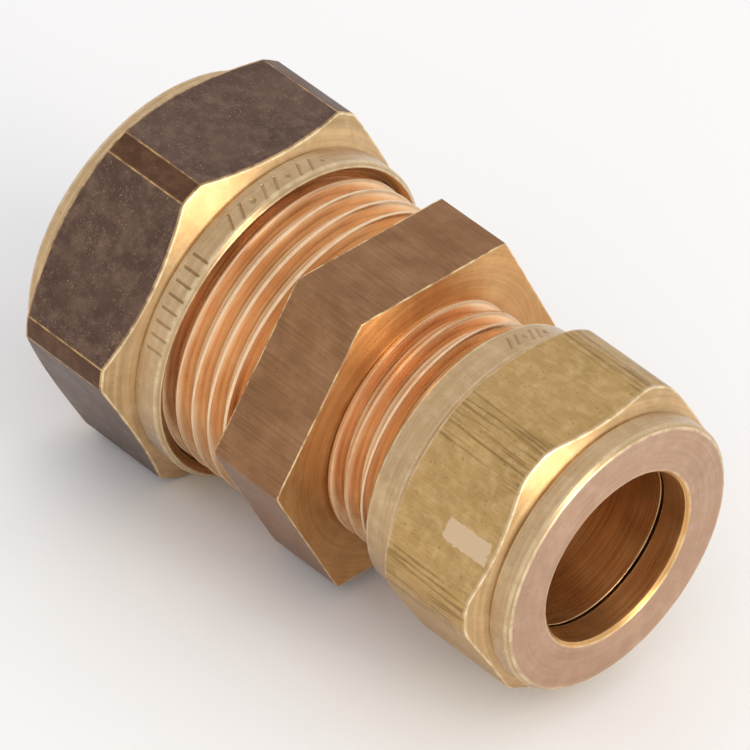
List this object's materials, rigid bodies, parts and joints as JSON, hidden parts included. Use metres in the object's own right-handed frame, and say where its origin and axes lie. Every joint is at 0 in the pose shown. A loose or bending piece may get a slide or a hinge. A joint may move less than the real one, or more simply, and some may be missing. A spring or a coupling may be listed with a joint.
{
  "type": "reducing compression coupling",
  "caption": "Straight brass compression fitting: hexagonal body with a threaded stub, olive and hexagonal nut on each end, the larger end for a wider tube.",
  "frame": {"origin": "on the tubes' common axis, halfway between the two nuts' end faces", "axes": "+X along the axis towards the 15 mm end, +Z square out of the body hexagon's top flat"},
  "size_m": [0.0516, 0.0336, 0.0302],
  "materials": {
    "machined_brass": "freshly turned and milled, bright and coppery, with a drawn grain on the hexagon's flats",
    "satin_brass": "satin, lightly tarnished, straw-coloured turned collars and mottled olive-yellow flats",
    "oxidised_brass": "dark chocolate oxide on forged flats, pale turned collars and chamfers",
    "olive_brass": "smooth turned, annealed"
  },
  "bodies": {
    "coupling_body": {"coupling_body": "machined_brass"},
    "olive_15mm": {"olive_15mm": "olive_brass"},
    "nut_15mm": {"nut_15mm": "satin_brass"},
    "olive_22mm": {"olive_22mm": "olive_brass"},
    "nut_22mm": {"nut_22mm": "oxidised_brass"}
  },
  "joints": [
    {"name": "nut_15mm_travel", "type": "slide", "parent": "coupling_body", "child": "olive_15mm", "axis": [1, 0, 0], "range_m": [-0.00061, 0.00544]},
    {"name": "nut_15mm_turn", "type": "hinge", "parent": "olive_15mm", "child": "nut_15mm", "pos_m": [0.0099, 0, 0], "axis": [1, 0, 0], "range_deg": [-120, 1080]},
    {"name": "nut_22mm_travel", "type": "slide", "parent": "coupling_body", "child": "olive_22mm", "axis": [-1, 0, 0], "range_m": [-0.0003, 0.00454]},
    {"name": "nut_22mm_turn", "type": "hinge", "parent": "olive_22mm", "child": "nut_22mm", "pos_m": [-0.01055, 0, 0], "axis": [-1, 0, 0], "range_deg": [-60, 900]}
  ],
  "couplings": [
    {"joint": "nut_15mm_travel", "follows": "nut_15mm_turn", "m_per_rad": 0.00028875},
    {"joint": "nut_22mm_travel", "follows": "nut_22mm_turn", "m_per_rad": 0.00028875}
  ]
}
